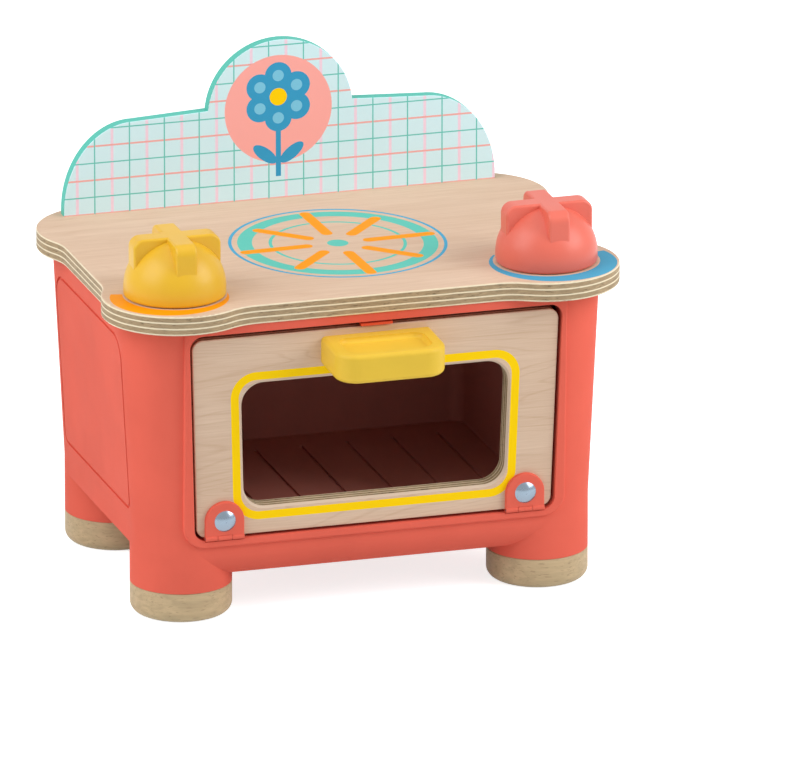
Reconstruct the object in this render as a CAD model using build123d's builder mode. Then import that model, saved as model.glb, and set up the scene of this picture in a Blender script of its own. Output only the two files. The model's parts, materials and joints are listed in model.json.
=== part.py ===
"""Toy oven: a moulded shell on four wooden feet, with a plywood top, a drop-down door and two knobs.

Millimetres, +Z up. X runs across the front, +Y to the back. The origin is the middle of the
bounding box at floor level, and the door faces -Y.
"""
from build123d import *

import os
from math import atan2, cos, degrees, pi, radians, sin, sqrt, tan

# ---------------------------------------------------------------- driving dimensions
# Feet and legs
foot_radius = 22.5
foot_height = 14.0
foot_edge = 4.5
leg_radius = 22.5
leg_span_x = 163.8
leg_span_y = 104.0
leg_plate = 3.0

# Shell
wall = 3.0
knee_height = 39.3
shell_top = 136.9
side_draft = 3.1
front_draft = 1.8
skirt_height = 18.0
skirt_round = 15.0
side_skirt_height = 32.3
side_skirt_round = 3.0
shell_floor_top = 37.3
shell_floor = 3.0
groove_depth = 0.8
groove_width = 1.8
groove_low = 7.9
groove_margin = 9.8
groove_round = 11.0
groove_low_round = 5.0

# Rim round the door opening
rim_overhang = 5.4
rim_side = 4.9
rim_bar = 3.7
rim_low = 4.6
rim_round = 10.0
rim_proud = 1.5
rim_edge = 0.9

# Door
door_thickness = 8.5
door_side_slope = 0.03
door_round = 4.5
door_edge = 0.5
door_gap_side = 1.4
door_gap_low = 1.3
door_gap_top = 2.6
window_low = 12.2
window_top = 21.8
window_side = 21.5
window_round = 10.0
window_bevel = 1.0

# Handle
handle_half_width = 25.0
handle_depth = 29.5
handle_height = 13.1
handle_drop = 2.9
handle_corner = 10.0
handle_edge = 2.0
dish_half_width = 19.5
dish_margin = 5.0
dish_depth = 2.4
dish_round = 2.1

# Hinges
hinge_inset = 12.2
hinge_width = 17.6
rivet_height = 7.6
tab_thickness = 2.0
tab_edge = 0.5
knuckle_radius = 1.25
knuckle_drop = 0.1
fixed_knuckle = 6.4
knuckle_gap = 0.2
pin_radius = 0.6
leaf_thickness = 0.95
leaf_depth = 8.0
rivet_head_radius = 4.8
rivet_head_height = 1.7
rivet_radius = 2.0
rivet_tail_radius = 3.6
rivet_tail_height = 1.2

# Catch
catch_half_width = 7.2
catch_thickness = 1.0
catch_reach = 16.0
catch_foot = 11.0
catch_screw_spread = 3.8
catch_play = 0.7

# Tabletop
board = 9.0
board_edge = 0.8
lobe_radius = 33.0
lobe_outset = 2.3
lobe_forward = 3.0
side_inset = 5.4
front_inset = 8.1
side_blend = 25.0
front_blend = 28.0

# Splashback
splash_inset = 11.8
splash_thickness = 5.5
splash_setback = 13.3
splash_shoulder = 43.0
splash_end = 41.3
splash_corner_x = 32.0
splash_foot = 2.0
bump_radius = 33.7
bump_centre = 39.6
splash_edge = 0.4

# Knobs
knob_outset = 0.8
knob_radius = 22.5
knob_skirt = 3.8
knob_edge = 1.2
knob_wall = 2.4
knob_high = 27.2
fin_width = 9.6
fin_reach = 19.8
fin_edge = 1.2
fin_corner = 4.8
spindle_radius = 4.0
bush_radius = 6.0
bush_flange_radius = 9.0
bush_flange = 1.5
washer_radius = 8.0
washer_thickness = 1.0

# Oven box
liner_wall = 2.2
liner_floor = 2.0
liner_margin = 2.7
liner_depth = 119.0
liner_drop = 6.6
liner_draft = 1.0
liner_round = 6.0
groove_pitch = 21.2
groove_count = 7
groove_width = 1.4
groove_depth = 0.9
groove_start = 8.0
groove_stop = 15.0
ear_length = 9.0
ear_half_width = 5.0
ear_places = (30.0, 74.0)

# Fasteners
screw_radius = 1.6
screw_head_radius = 3.2
screw_head_height = 2.0
foot_screw_length = 26.0
foot_counterbore = 4.2
post_radius = 4.6
post_inset = 8.0
post_places = (26.0, 78.0)
top_screw_bite = 7.0
top_screw_grip = 8.0
splash_screw_bite = 14.0
splash_screw_places = (-62.0, 0.0, 62.0)
handle_screw_place = 14.0
handle_screw_bite = 12.0
leaf_screw_shift = 5.8
leaf_screw_depth = 5.2
leaf_screw_radius = 1.1
leaf_screw_head = 2.0
leaf_screw_length = 8.0
ear_screw_length = 5.5
catch_screw_radius = 1.3
catch_screw_length = 6.0
boss_wall = 1.9
boss_end = 1.0

# Clearances
running = 0.05
gap = 0.3

# Angles
quarter_turn = 90.0

# ---------------------------------------------------------------- worked out
lean = radians(front_draft)
leg_x = leg_span_x / 2
shell_half_width = leg_x + leg_radius
shell_depth = leg_span_y + 2 * leg_radius
top_z = shell_top + board
groove_high = shell_top - knee_height - groove_margin
rim_half_width = leg_x + rim_overhang
door_half_width = rim_half_width - rim_side - door_gap_side
door_height = (shell_top - knee_height) / cos(lean) - rim_bar - door_gap_top
window_half_width = door_half_width - window_side
window_high = door_height - window_top
handle_high = door_height - handle_drop
handle_low = handle_high - handle_height
hinge_x = door_half_width - hinge_inset
liner_half_width = leg_x - liner_margin
liner_high = shell_top - liner_drop

reach_front = (handle_depth - handle_edge) * cos(lean) + (handle_high - handle_edge) * sin(lean) + handle_edge
reach_back = leg_radius - lobe_forward + leg_span_y + lobe_radius
front_y = (reach_front - reach_back) / 2
mid_y = front_y + shell_depth / 2
leg_front_y = front_y + leg_radius
leg_back_y = leg_front_y + leg_span_y
lobe_x = leg_x + lobe_outset
lobe_front_y = leg_front_y - lobe_forward
lobe_back_y = leg_back_y - lobe_forward
table_front_y = lobe_front_y - lobe_radius + front_inset
table_back_y = lobe_back_y + lobe_radius
table_half_width = lobe_x + lobe_radius - side_inset
splash_half_width = table_half_width - splash_inset

# The door, rim, handle and hinges lie on the shell's leaning front face: x across, y up it, z outward.
face = Plane(origin=(0, front_y, knee_height), x_dir=(1, 0, 0), z_dir=(0, -cos(lean), -sin(lean)))
outward = Axis((0, front_y, knee_height), (0, -cos(lean), -sin(lean)))
up = Vector(0, -sin(lean), cos(lean))
hinge_out = knuckle_radius + running
screw_head_taper = degrees(atan2(screw_head_radius - screw_radius, screw_head_height))
catch_screw_y = front_y + catch_reach
liner_front_y = front_y + door_thickness + gap
post_x = shell_half_width - post_inset
post_points = [(x, leg_front_y + place) for x in (-post_x, post_x) for place in post_places]
ear_x = liner_half_width + liner_wall + ear_length - ear_half_width
ear_points = [(x, leg_front_y + place) for x in (-ear_x, ear_x) for place in ear_places]
leg_places = [(x, y) for x in (-leg_x, leg_x) for y in (leg_front_y, leg_back_y)]
knob_z = top_z + gap

# Each fixed hinge leaf lies flat on the bottom edge of the opening, and its screw goes down square to it.
leaf_top = -door_gap_low + leaf_thickness
leaf_seats = []
for x in (-hinge_x + leaf_screw_shift, hinge_x - leaf_screw_shift):
    spot = face.from_local_coords(Vector(x, leaf_top, -leaf_screw_depth))
    leaf_seats.append(Plane(origin=spot, x_dir=(1, 0, 0), z_dir=up))
catch_screws_at = [(x, catch_screw_y) for x in (-catch_screw_spread, catch_screw_spread)]


def tapered(width_low, low, high, margin=0.0):
    """Corners of a shape whose sides follow the door's slope, on the face plane."""
    half_low = width_low - margin
    half_high = width_low + door_side_slope * (high - low) - margin
    return [(-half_low, low), (half_low, low), (half_high, high), (-half_high, high)]


def wall_outline(height, inset):
    """The shell's plan outline at a height, inset from its outer face."""
    rise = height - knee_height
    half = shell_half_width + rise * tan(radians(side_draft)) - inset
    depth = shell_depth + 2 * (rise * tan(lean) - inset)
    corner = leg_radius + rise * tan(radians(side_draft)) - inset
    with Locations((0, mid_y)):
        RectangleRounded(2 * half, depth, corner)


def liner_outline(height, inset):
    """The oven box's plan outline at a height, inset from its outer face and run on to the front."""
    rise = (height - shell_floor_top) * tan(radians(liner_draft))
    half = liner_half_width + liner_wall + rise - inset
    back = liner_front_y + liner_depth + liner_wall + rise - inset
    with Locations((0, back - shell_depth / 2)):
        RectangleRounded(2 * half, shell_depth, liner_round)


def across(x, height, out):
    """A plane facing +X through a point given on the leaning face."""
    point = face.from_local_coords(Vector(x, height, out))
    return Plane(origin=point, x_dir=(0, 1, 0), z_dir=(1, 0, 0))


def countersunk(radius, length, head_radius, head_height):
    """Half profile of a countersunk screw along +Y, with the head's flat face at y = 0."""
    Polygon(
        (0, 0), (head_radius, 0), (radius, head_height), (radius, length - radius), (0, length),
        align=None,
    )


def panhead(radius, length, head_radius, head_height, crown=0.7, side=0.4):
    """Half profile of a pan-head screw along +Y, with the head below y = 0."""
    Polygon(
        (0, -head_height), (head_radius * crown, -head_height), (head_radius, -head_height * side),
        (head_radius, 0), (radius, 0), (radius, length - radius), (0, length), align=None,
    )


def save(builder, name):
    builder.part.label = name
    export_step(builder.part, f"parts/{name}.step")


os.makedirs("parts", exist_ok=True)

# ---------------------------------------------------------------- shell
opening = tapered(door_half_width + door_gap_side, -door_gap_low, door_height + door_gap_top)

with BuildPart() as rim:
    rim_top = (shell_top - knee_height) / cos(lean) + rim_proud
    with BuildSketch(face.offset(rim_proud)):
        with BuildLine():
            FilletPolyline(
                (-rim_half_width, rim_top), (-rim_half_width, -rim_low), (rim_half_width, -rim_low),
                (rim_half_width, rim_top), radius=rim_round,
            )
            Line((-rim_half_width, rim_top), (rim_half_width, rim_top))
        make_face()
    extrude(amount=-(rim_proud + door_thickness))
    fillet(rim.faces().sort_by(outward)[-1].edges().sort_by(Axis.Z)[:-1], radius=rim_edge)
    with BuildSketch(face.offset(rim_proud)):
        with BuildLine():
            Polyline(*opening, close=True)
        make_face()
        fillet(vertices(), radius=door_round + door_gap_side)
    extrude(amount=-(rim_proud + door_thickness), mode=Mode.SUBTRACT)

with BuildPart() as body_shell:
    # Front and back skirts curve under between the legs.
    with Locations((0, mid_y, (knee_height + skirt_height) / 2)):
        Box(leg_span_x, shell_depth, knee_height - skirt_height)
    fillet(body_shell.edges().group_by(Axis.Z)[0].filter_by(Axis.X), radius=skirt_round)
    with BuildSketch(Plane.YZ.offset(-leg_x)):
        inner_height = shell_floor_top - shell_floor - skirt_height - wall
        with Locations((mid_y, shell_floor_top - shell_floor - inner_height / 2)):
            Rectangle(shell_depth - 2 * wall, inner_height)
        fillet(vertices().group_by(Axis.Y)[0], radius=inner_height - gap)
    extrude(amount=leg_span_x, mode=Mode.SUBTRACT)
    with Locations((0, mid_y, skirt_height + wall)):
        Box(leg_span_x, shell_depth - 2 * skirt_round, 2 * wall, mode=Mode.SUBTRACT)
    # The side walls stop higher up.
    with Locations((0, mid_y, (knee_height + side_skirt_height) / 2)):
        Box(2 * shell_half_width, leg_span_y, knee_height - side_skirt_height)
    fillet(
        body_shell.edges().filter_by(Axis.Y).group_by(SortBy.DISTANCE)[-1].group_by(Axis.Z)[0],
        radius=side_skirt_round,
    )
    side_hollow = shell_floor_top - shell_floor - side_skirt_height
    with Locations((0, mid_y, side_skirt_height + side_hollow / 2)):
        Box(2 * (shell_half_width - wall), leg_span_y, side_hollow, mode=Mode.SUBTRACT)
    # Legs run on down from the corners.
    for x, y in leg_places:
        with Locations((x, y, (knee_height + foot_height) / 2)):
            Cylinder(leg_radius, knee_height - foot_height)
    # Walls, open at the top.
    for height in (knee_height, shell_top):
        with BuildSketch(Plane.XY.offset(height)):
            wall_outline(height, 0)
    loft(ruled=True)
    for height in (shell_floor_top, shell_top):
        with BuildSketch(Plane.XY.offset(height)):
            wall_outline(height, wall)
    loft(ruled=True, mode=Mode.SUBTRACT)
    pocket_low = foot_height + leg_plate
    for x, y in leg_places:
        with Locations((x, y, (pocket_low + shell_floor_top) / 2)):
            Cylinder(leg_radius - wall, shell_floor_top - pocket_low, mode=Mode.SUBTRACT)
    # A fine groove outlines a panel on each side.
    for side in (-1, 1):
        slope = radians(side_draft)
        cheek = Plane(
            origin=(side * shell_half_width, mid_y, knee_height), x_dir=(0, side, 0),
            z_dir=(side * cos(slope), 0, -sin(slope)),
        )
        with BuildSketch(cheek):
            with Locations((0, (groove_low + groove_high) / 2)):
                Rectangle(leg_span_y, groove_high - groove_low)
            fillet(vertices().group_by(Axis.Y)[-1], radius=groove_round)
            fillet(vertices().group_by(Axis.Y)[0], radius=groove_low_round)
            offset(amount=-groove_width, mode=Mode.SUBTRACT)
        extrude(amount=-groove_depth, mode=Mode.SUBTRACT)
    # Rim, cut level with the top of the walls, and the opening inside it.
    add(rim.part)
    with BuildSketch(Plane.XY.offset(shell_top)):
        with Locations((0, mid_y)):
            Rectangle(4 * shell_half_width, 2 * shell_depth)
    extrude(amount=board, mode=Mode.SUBTRACT)
    with BuildSketch(face.offset(rim_proud)):
        Polygon(*opening, align=None)
        fillet(vertices(), radius=door_round + door_gap_side)
    extrude(amount=-(rim_proud + door_thickness), mode=Mode.SUBTRACT)
    # Seats for the hinge knuckles in the rim's lower bar, with a screw boss behind each.
    seat_low = -knuckle_drop - knuckle_radius - gap
    for x in (-hinge_x, hinge_x):
        for low, depth in ((seat_low, rim_proud + gap), (-door_gap_low, rim_proud + leaf_depth + gap)):
            with BuildSketch(face.offset(rim_proud)):
                with Locations((x, low / 2)):
                    Rectangle(hinge_width + 2 * gap, -low)
            extrude(amount=-depth, mode=Mode.SUBTRACT)
    for seat in leaf_seats:
        with BuildSketch(seat.offset(-leaf_thickness)):
            Circle(leaf_screw_radius + boss_wall)
        extrude(amount=-(leaf_screw_length - leaf_thickness + boss_end))
    # Posts that carry the top, bored for long screws driven from below.
    for x, y in post_points:
        with Locations((x, y, (shell_floor_top - shell_floor + shell_top) / 2)):
            Cylinder(post_radius, shell_top - shell_floor_top + shell_floor)
            Cylinder(screw_radius, 3 * shell_top, mode=Mode.SUBTRACT)
        well = shell_top - top_screw_grip
        with Locations((x, y, well / 2)):
            Cylinder(screw_head_radius + gap / 2, well, mode=Mode.SUBTRACT)
    # A boss in each leg takes the foot's screw.
    boss_top = foot_screw_length + boss_end
    for x, y in leg_places:
        with Locations((x, y, (foot_height + boss_top) / 2)):
            Cylinder(screw_radius + boss_wall, boss_top - foot_height)
        with Locations((x, y, foot_screw_length / 2)):
            Cylinder(screw_radius, foot_screw_length, mode=Mode.SUBTRACT)
    # Bosses under the floor for the oven box's screws.
    ear_boss = ear_screw_length - liner_floor + boss_end
    for x, y in ear_points:
        with Locations((x, y, shell_floor_top - ear_boss / 2)):
            Cylinder(screw_radius + boss_wall, ear_boss)
        with Locations((x, y, shell_floor_top + liner_floor - ear_screw_length / 2)):
            Cylinder(screw_radius, ear_screw_length, mode=Mode.SUBTRACT)
    for seat in leaf_seats:
        with BuildSketch(seat):
            Circle(leaf_screw_radius)
        extrude(amount=-leaf_screw_length, mode=Mode.SUBTRACT)
save(body_shell, "body_shell")

# ---------------------------------------------------------------- oven box
with BuildPart() as oven_liner:
    for height in (shell_floor_top, liner_high):
        with BuildSketch(Plane.XY.offset(height)):
            liner_outline(height, 0)
    loft(ruled=True)
    for height in (shell_floor_top + liner_floor, liner_high):
        with BuildSketch(Plane.XY.offset(height)):
            liner_outline(height, liner_wall)
    loft(ruled=True, mode=Mode.SUBTRACT)
    # The front end follows the door's back face.
    with BuildSketch(face.offset(-door_thickness - gap)):
        Rectangle(4 * shell_half_width, 4 * shell_top)
    extrude(amount=shell_depth, mode=Mode.SUBTRACT)
    # Grooves in the floor, like the bars of a shelf.
    groove_length = liner_depth - groove_start - groove_stop
    with Locations((0, liner_front_y + groove_start + groove_length / 2, shell_floor_top + liner_floor)):
        with GridLocations(groove_pitch, 0, groove_count, 1):
            Box(groove_width, groove_length, 2 * groove_depth, mode=Mode.SUBTRACT)
    # Ears that hold it down.
    for x, y in ear_points:
        inner = (liner_half_width + liner_wall / 2) * (1 if x > 0 else -1)
        with Locations(((x + inner) / 2, y, shell_floor_top + liner_floor / 2)):
            Box(abs(x - inner), 2 * ear_half_width, liner_floor)
        with Locations((x, y, shell_floor_top + liner_floor / 2)):
            Cylinder(ear_half_width, liner_floor)
            Cylinder(screw_radius + gap / 2, 2 * liner_floor, mode=Mode.SUBTRACT)
save(oven_liner, "oven_liner")

with BuildPart() as liner_screws:
    for x, y in ear_points:
        ear_top = shell_floor_top + liner_floor
        with BuildSketch(Plane(origin=(x, y, ear_top), x_dir=(1, 0, 0), z_dir=(0, 1, 0))):
            panhead(screw_radius, ear_screw_length, screw_head_radius, screw_head_height)
        revolve(axis=Axis((x, y, 0), (0, 0, 1)))
save(liner_screws, "liner_screws")

# ---------------------------------------------------------------- feet
foot_names = ("front_left_foot", "back_left_foot", "front_right_foot", "back_right_foot")
for name, (x, y) in zip(foot_names, leg_places):
    with BuildPart() as foot:
        with Locations((x, y, foot_height / 2)):
            Cylinder(foot_radius, foot_height)
        fillet(foot.edges().group_by(Axis.Z)[0], radius=foot_edge)
        fillet(foot.edges().group_by(Axis.Z)[-1], radius=board_edge)
        with Locations((x, y, foot_height / 2)):
            Cylinder(screw_radius + gap / 2, 2 * foot_height, mode=Mode.SUBTRACT)
        with Locations((x, y, foot_counterbore / 2)):
            Cylinder(screw_head_radius + gap, foot_counterbore, mode=Mode.SUBTRACT)
    save(foot, name)

with BuildPart() as foot_screws:
    for x, y in leg_places:
        with BuildSketch(Plane(origin=(x, y, foot_counterbore), x_dir=(1, 0, 0), z_dir=(0, -1, 0))):
            panhead(screw_radius, foot_screw_length - foot_counterbore, screw_head_radius, screw_head_height)
        revolve(axis=Axis((x, y, 0), (0, 0, 1)))
save(foot_screws, "foot_screws")

# ---------------------------------------------------------------- tabletop and splashback
board_front_y = table_back_y - splash_setback
board_mid_y = board_front_y + splash_thickness / 2
splash_screws_at = [(x, board_mid_y) for x in splash_screw_places]
knob_places = [(x, lobe_front_y) for x in (-lobe_x - knob_outset, lobe_x + knob_outset)]

front_blend_x = lobe_x - sqrt(
    (lobe_radius + front_blend) ** 2 - (lobe_front_y - table_front_y + front_blend) ** 2
)
side_blend_x = table_half_width + side_blend
side_blend_y = sqrt((lobe_radius + side_blend) ** 2 - (side_blend_x - lobe_x) ** 2)


def on_lobe(lobe_y, x, y):
    """Where a blend arc centred at x, y touches the lobe whose middle is at lobe_y."""
    middle = Vector(lobe_x, lobe_y)
    return middle + (Vector(x, y) - middle).normalized() * lobe_radius


dip_end = on_lobe(lobe_front_y, front_blend_x, table_front_y - front_blend)
waist_start = on_lobe(lobe_front_y, side_blend_x, lobe_front_y + side_blend_y)
swell_end = on_lobe(lobe_back_y, side_blend_x, lobe_back_y - side_blend_y)

with BuildPart() as tabletop:
    with BuildSketch(Plane.XY.offset(shell_top)):
        with BuildLine():
            front_edge = Line((0, table_front_y), (front_blend_x, table_front_y))
            dip = TangentArc(front_edge @ 1, dip_end, tangent=front_edge % 1)
            lobe = TangentArc(dip @ 1, waist_start, tangent=dip % 1)
            waist = TangentArc(lobe @ 1, (table_half_width, lobe_front_y + side_blend_y), tangent=lobe % 1)
            side_edge = Line(waist @ 1, (table_half_width, lobe_back_y - side_blend_y))
            swell = TangentArc(side_edge @ 1, swell_end, tangent=side_edge % 1)
            back_lobe = TangentArc(swell @ 1, (lobe_x, table_back_y), tangent=swell % 1)
            Polyline(back_lobe @ 1, (0, table_back_y), (0, table_front_y))
        make_face()
        mirror(about=Plane.YZ)
    extrude(amount=board)
    fillet(tabletop.faces().sort_by(Axis.Z)[-1].edges(), radius=board_edge)
    fillet(tabletop.faces().sort_by(Axis.Z)[0].edges(), radius=board_edge)
    for x, y in knob_places:
        with Locations((x, y, shell_top + board / 2)):
            Cylinder(bush_radius, 2 * board, mode=Mode.SUBTRACT)
    for x, y in post_points:
        with Locations((x, y, shell_top + top_screw_bite / 2)):
            Cylinder(screw_radius, top_screw_bite, mode=Mode.SUBTRACT)
    for x, y in splash_screws_at:
        with Locations((x, y, shell_top + board / 2)):
            Cylinder(screw_radius, 2 * board, mode=Mode.SUBTRACT)
        with Locations((x, y, shell_top + screw_head_height / 2)):
            Cone(screw_head_radius, screw_radius, screw_head_height, mode=Mode.SUBTRACT)
    for x, y in catch_screws_at:
        with Locations((x, y, shell_top)):
            Cylinder(catch_screw_radius, 2 * catch_screw_length, mode=Mode.SUBTRACT)
save(tabletop, "tabletop")

with BuildPart() as tabletop_screws:
    for x, y in post_points:
        grip = shell_top - top_screw_grip
        with BuildSketch(Plane(origin=(x, y, grip), x_dir=(1, 0, 0), z_dir=(0, -1, 0))):
            panhead(screw_radius, top_screw_grip + top_screw_bite, screw_head_radius, screw_head_height)
        revolve(axis=Axis((x, y, 0), (0, 0, 1)))
save(tabletop_screws, "tabletop_screws")

with BuildPart() as splashback:
    shoulder_x = splash_half_width - splash_corner_x
    notch_x = sqrt(bump_radius ** 2 - (splash_shoulder - bump_centre) ** 2)
    front = Plane(origin=(0, board_front_y, top_z), x_dir=(1, 0, 0), z_dir=(0, -1, 0))
    with BuildSketch(front):
        with BuildLine():
            Line((0, 0), (splash_half_width, 0))
            Line((splash_half_width, 0), (splash_half_width, splash_foot))
            EllipticalCenterArc(
                (shoulder_x, splash_foot), splash_corner_x, splash_end - splash_foot,
                start_angle=0, arc_size=quarter_turn,
            )
            Line((shoulder_x, splash_end), (notch_x, splash_shoulder))
            ThreePointArc(
                (notch_x, splash_shoulder),
                (bump_radius * sin(pi / 4), bump_centre + bump_radius * cos(pi / 4)),
                (0, bump_centre + bump_radius),
            )
            Line((0, bump_centre + bump_radius), (0, 0))
        make_face()
        mirror(about=Plane.YZ)
    extrude(amount=-splash_thickness)
    rounded = splashback.edges().filter_by(lambda e: e.center().Z > top_z + gap)
    fillet(rounded.filter_by(Axis.Y, reverse=True), radius=splash_edge)
    for x, y in splash_screws_at:
        with Locations((x, y, top_z)):
            Cylinder(screw_radius, 2 * splash_screw_bite, mode=Mode.SUBTRACT)
save(splashback, "splashback")

with BuildPart() as splashback_screws:
    for x, y in splash_screws_at:
        with BuildSketch(Plane(origin=(x, y, shell_top), x_dir=(1, 0, 0), z_dir=(0, -1, 0))):
            countersunk(screw_radius, board + splash_screw_bite, screw_head_radius, screw_head_height)
        revolve(axis=Axis((x, y, 0), (0, 0, 1)))
save(splashback_screws, "splashback_screws")

# ---------------------------------------------------------------- knobs
def reach(edge):
    """How far an edge's middle lies from the knob's axis, along X or Y."""
    return max(abs(edge.center().X), abs(edge.center().Y))


# The crossed grip, made about the origin and shared by both knobs.
with BuildPart() as fins:
    with BuildSketch(Plane.XY.offset(knob_skirt)):
        Rectangle(2 * fin_reach, fin_width)
        Rectangle(fin_width, 2 * fin_reach)
    extrude(amount=knob_high - knob_skirt)
    fillet(
        fins.edges().group_by(Axis.Z)[-1].filter_by(lambda e: reach(e) > fin_reach - gap),
        radius=fin_corner,
    )
    seated = fins.edges().group_by(Axis.Z)[0]
    creases = fins.edges().filter_by(Axis.Z).filter_by(lambda e: reach(e) < fin_width)
    fillet([e for e in fins.edges() if e not in seated and e not in creases], radius=fin_edge)

spindle_low = shell_top - bush_flange - gap / 2
for name, (x, y) in zip(("left_knob", "right_knob"), knob_places):
    upright = Plane(origin=(x, y, knob_z), x_dir=(1, 0, 0), z_dir=(0, -1, 0))
    axle = Axis((x, y, 0), (0, 0, 1))
    with BuildPart() as knob:
        with BuildSketch(upright):
            with BuildLine():
                Line((0, 0), (knob_radius, 0))
                Line((knob_radius, 0), (knob_radius, knob_skirt))
                CenterArc((0, knob_skirt), knob_radius, start_angle=0, arc_size=quarter_turn)
                Line((0, knob_skirt + knob_radius), (0, 0))
            make_face()
        revolve(axis=axle)
        fillet(knob.edges().group_by(Axis.Z)[0], radius=knob_edge)
        add(fins.part.moved(Location((x, y, knob_z))))
        # Hollow underneath, round the spindle.
        with BuildSketch(upright):
            with BuildLine():
                Line((0, 0), (knob_radius - knob_wall, 0))
                Line((knob_radius - knob_wall, 0), (knob_radius - knob_wall, knob_skirt))
                CenterArc((0, knob_skirt), knob_radius - knob_wall, start_angle=0, arc_size=quarter_turn)
                Line((0, knob_skirt + knob_radius - knob_wall), (0, 0))
            make_face()
        revolve(axis=axle, mode=Mode.SUBTRACT)
        spindle_high = knob_z + knob_skirt + knob_radius - knob_wall / 2
        with Locations((x, y, (spindle_low + spindle_high) / 2)):
            Cylinder(spindle_radius, spindle_high - spindle_low)
        with Locations((x, y, spindle_low)):
            Cylinder(screw_radius, 2 * (board + bush_flange), mode=Mode.SUBTRACT)
    save(knob, name)

    with BuildPart() as bush:
        with Locations((x, y, shell_top + board / 2)):
            Cylinder(bush_radius, board)
        with Locations((x, y, shell_top - bush_flange / 2)):
            Cylinder(bush_flange_radius, bush_flange)
        with Locations((x, y, shell_top)):
            Cylinder(spindle_radius + running, 4 * board, mode=Mode.SUBTRACT)
    save(bush, name + "_bush")

    with BuildPart() as washer:
        with Locations((x, y, spindle_low - washer_thickness / 2)):
            Cylinder(washer_radius, washer_thickness)
            Cylinder(screw_radius, 2 * washer_thickness, mode=Mode.SUBTRACT)
    save(washer, name + "_washer")

    with BuildPart() as knob_screw:
        washer_low = spindle_low - washer_thickness
        with BuildSketch(Plane(origin=(x, y, washer_low), x_dir=(1, 0, 0), z_dir=(0, -1, 0))):
            panhead(screw_radius, board + washer_thickness, screw_head_radius, screw_head_height)
        revolve(axis=axle)
    save(knob_screw, name + "_screw")

# ---------------------------------------------------------------- door
handle_mid = (handle_low + handle_high) / 2
handle_screws_at = [(x, handle_mid) for x in (-handle_screw_place, handle_screw_place)]

with BuildPart() as door_panel:
    with BuildSketch(face):
        Polygon(*tapered(door_half_width, 0, door_height), align=None)
        fillet(vertices(), radius=door_round)
    extrude(amount=-door_thickness)
    fillet(door_panel.faces().sort_by(outward)[-1].edges(), radius=door_edge)
    fillet(door_panel.faces().sort_by(outward)[0].edges(), radius=door_edge)
    with BuildSketch(face):
        Polygon(*tapered(window_half_width, window_low, window_high), align=None)
        fillet(vertices(), radius=window_round)
    extrude(amount=-door_thickness, mode=Mode.SUBTRACT)
    inner_loop = door_panel.faces().sort_by(outward)[-1].inner_wires()[0].edges()
    chamfer(inner_loop, length=window_bevel)
    inner_loop = door_panel.faces().sort_by(outward)[0].inner_wires()[0].edges()
    chamfer(inner_loop, length=window_bevel / 2)
    for x in (-hinge_x, hinge_x):
        with BuildSketch(face):
            with Locations((x, rivet_height)):
                Circle(rivet_radius)
        extrude(amount=-door_thickness, mode=Mode.SUBTRACT)
    door_back = face.offset(-door_thickness)
    for x, height in handle_screws_at:
        with BuildSketch(door_back):
            with Locations((x, height)):
                Circle(screw_radius)
        extrude(amount=door_thickness, mode=Mode.SUBTRACT)
        with BuildSketch(door_back):
            with Locations((x, height)):
                Circle(screw_head_radius)
        extrude(amount=screw_head_height, taper=screw_head_taper, mode=Mode.SUBTRACT)
save(door_panel, "door_panel")

with BuildPart() as door_handle:
    with BuildSketch(face):
        with Locations((0, handle_mid)):
            Rectangle(2 * handle_half_width, handle_high - handle_low)
    extrude(amount=handle_depth)
    fillet(door_handle.faces().sort_by(outward)[-1].edges().group_by(Axis.X)[0], radius=handle_corner)
    fillet(door_handle.faces().sort_by(outward)[-1].edges().group_by(Axis.X)[-1], radius=handle_corner)
    seated = door_handle.faces().sort_by(outward)[0].edges()
    rims = [e for e in door_handle.edges() if e not in seated and abs(e.tangent_at(0.5).dot(up)) < 0.5]
    fillet(rims, radius=handle_edge)
    # Shallow dish in the top for the fingers.
    dish_middle = face.from_local_coords(Vector(0, handle_high, handle_depth / 2))
    with BuildSketch(Plane(origin=dish_middle, x_dir=(1, 0, 0), z_dir=up)):
        RectangleRounded(2 * dish_half_width, handle_depth - 2 * dish_margin, handle_corner - dish_margin)
    extrude(amount=-dish_depth, mode=Mode.SUBTRACT)
    dish_floor = door_handle.faces().filter_by(lambda f: f.normal_at().dot(up) > 0.9).sort_by(Axis.Z)[0]
    fillet(dish_floor.edges(), radius=dish_round)
    with BuildSketch(face):
        for x, height in handle_screws_at:
            with Locations((x, height)):
                Circle(screw_radius)
    extrude(amount=handle_screw_bite, mode=Mode.SUBTRACT)
save(door_handle, "door_handle")

with BuildPart() as handle_screws:
    for x, height in handle_screws_at:
        start = face.from_local_coords(Vector(x, height, -door_thickness))
        with BuildSketch(Plane(origin=start, x_dir=(1, 0, 0), z_dir=-up)):
            handle_screw_length = door_thickness + handle_screw_bite
            countersunk(screw_radius, handle_screw_length, screw_head_radius, screw_head_height)
        revolve(axis=Axis(start, outward.direction))
save(handle_screws, "handle_screws")

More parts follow.
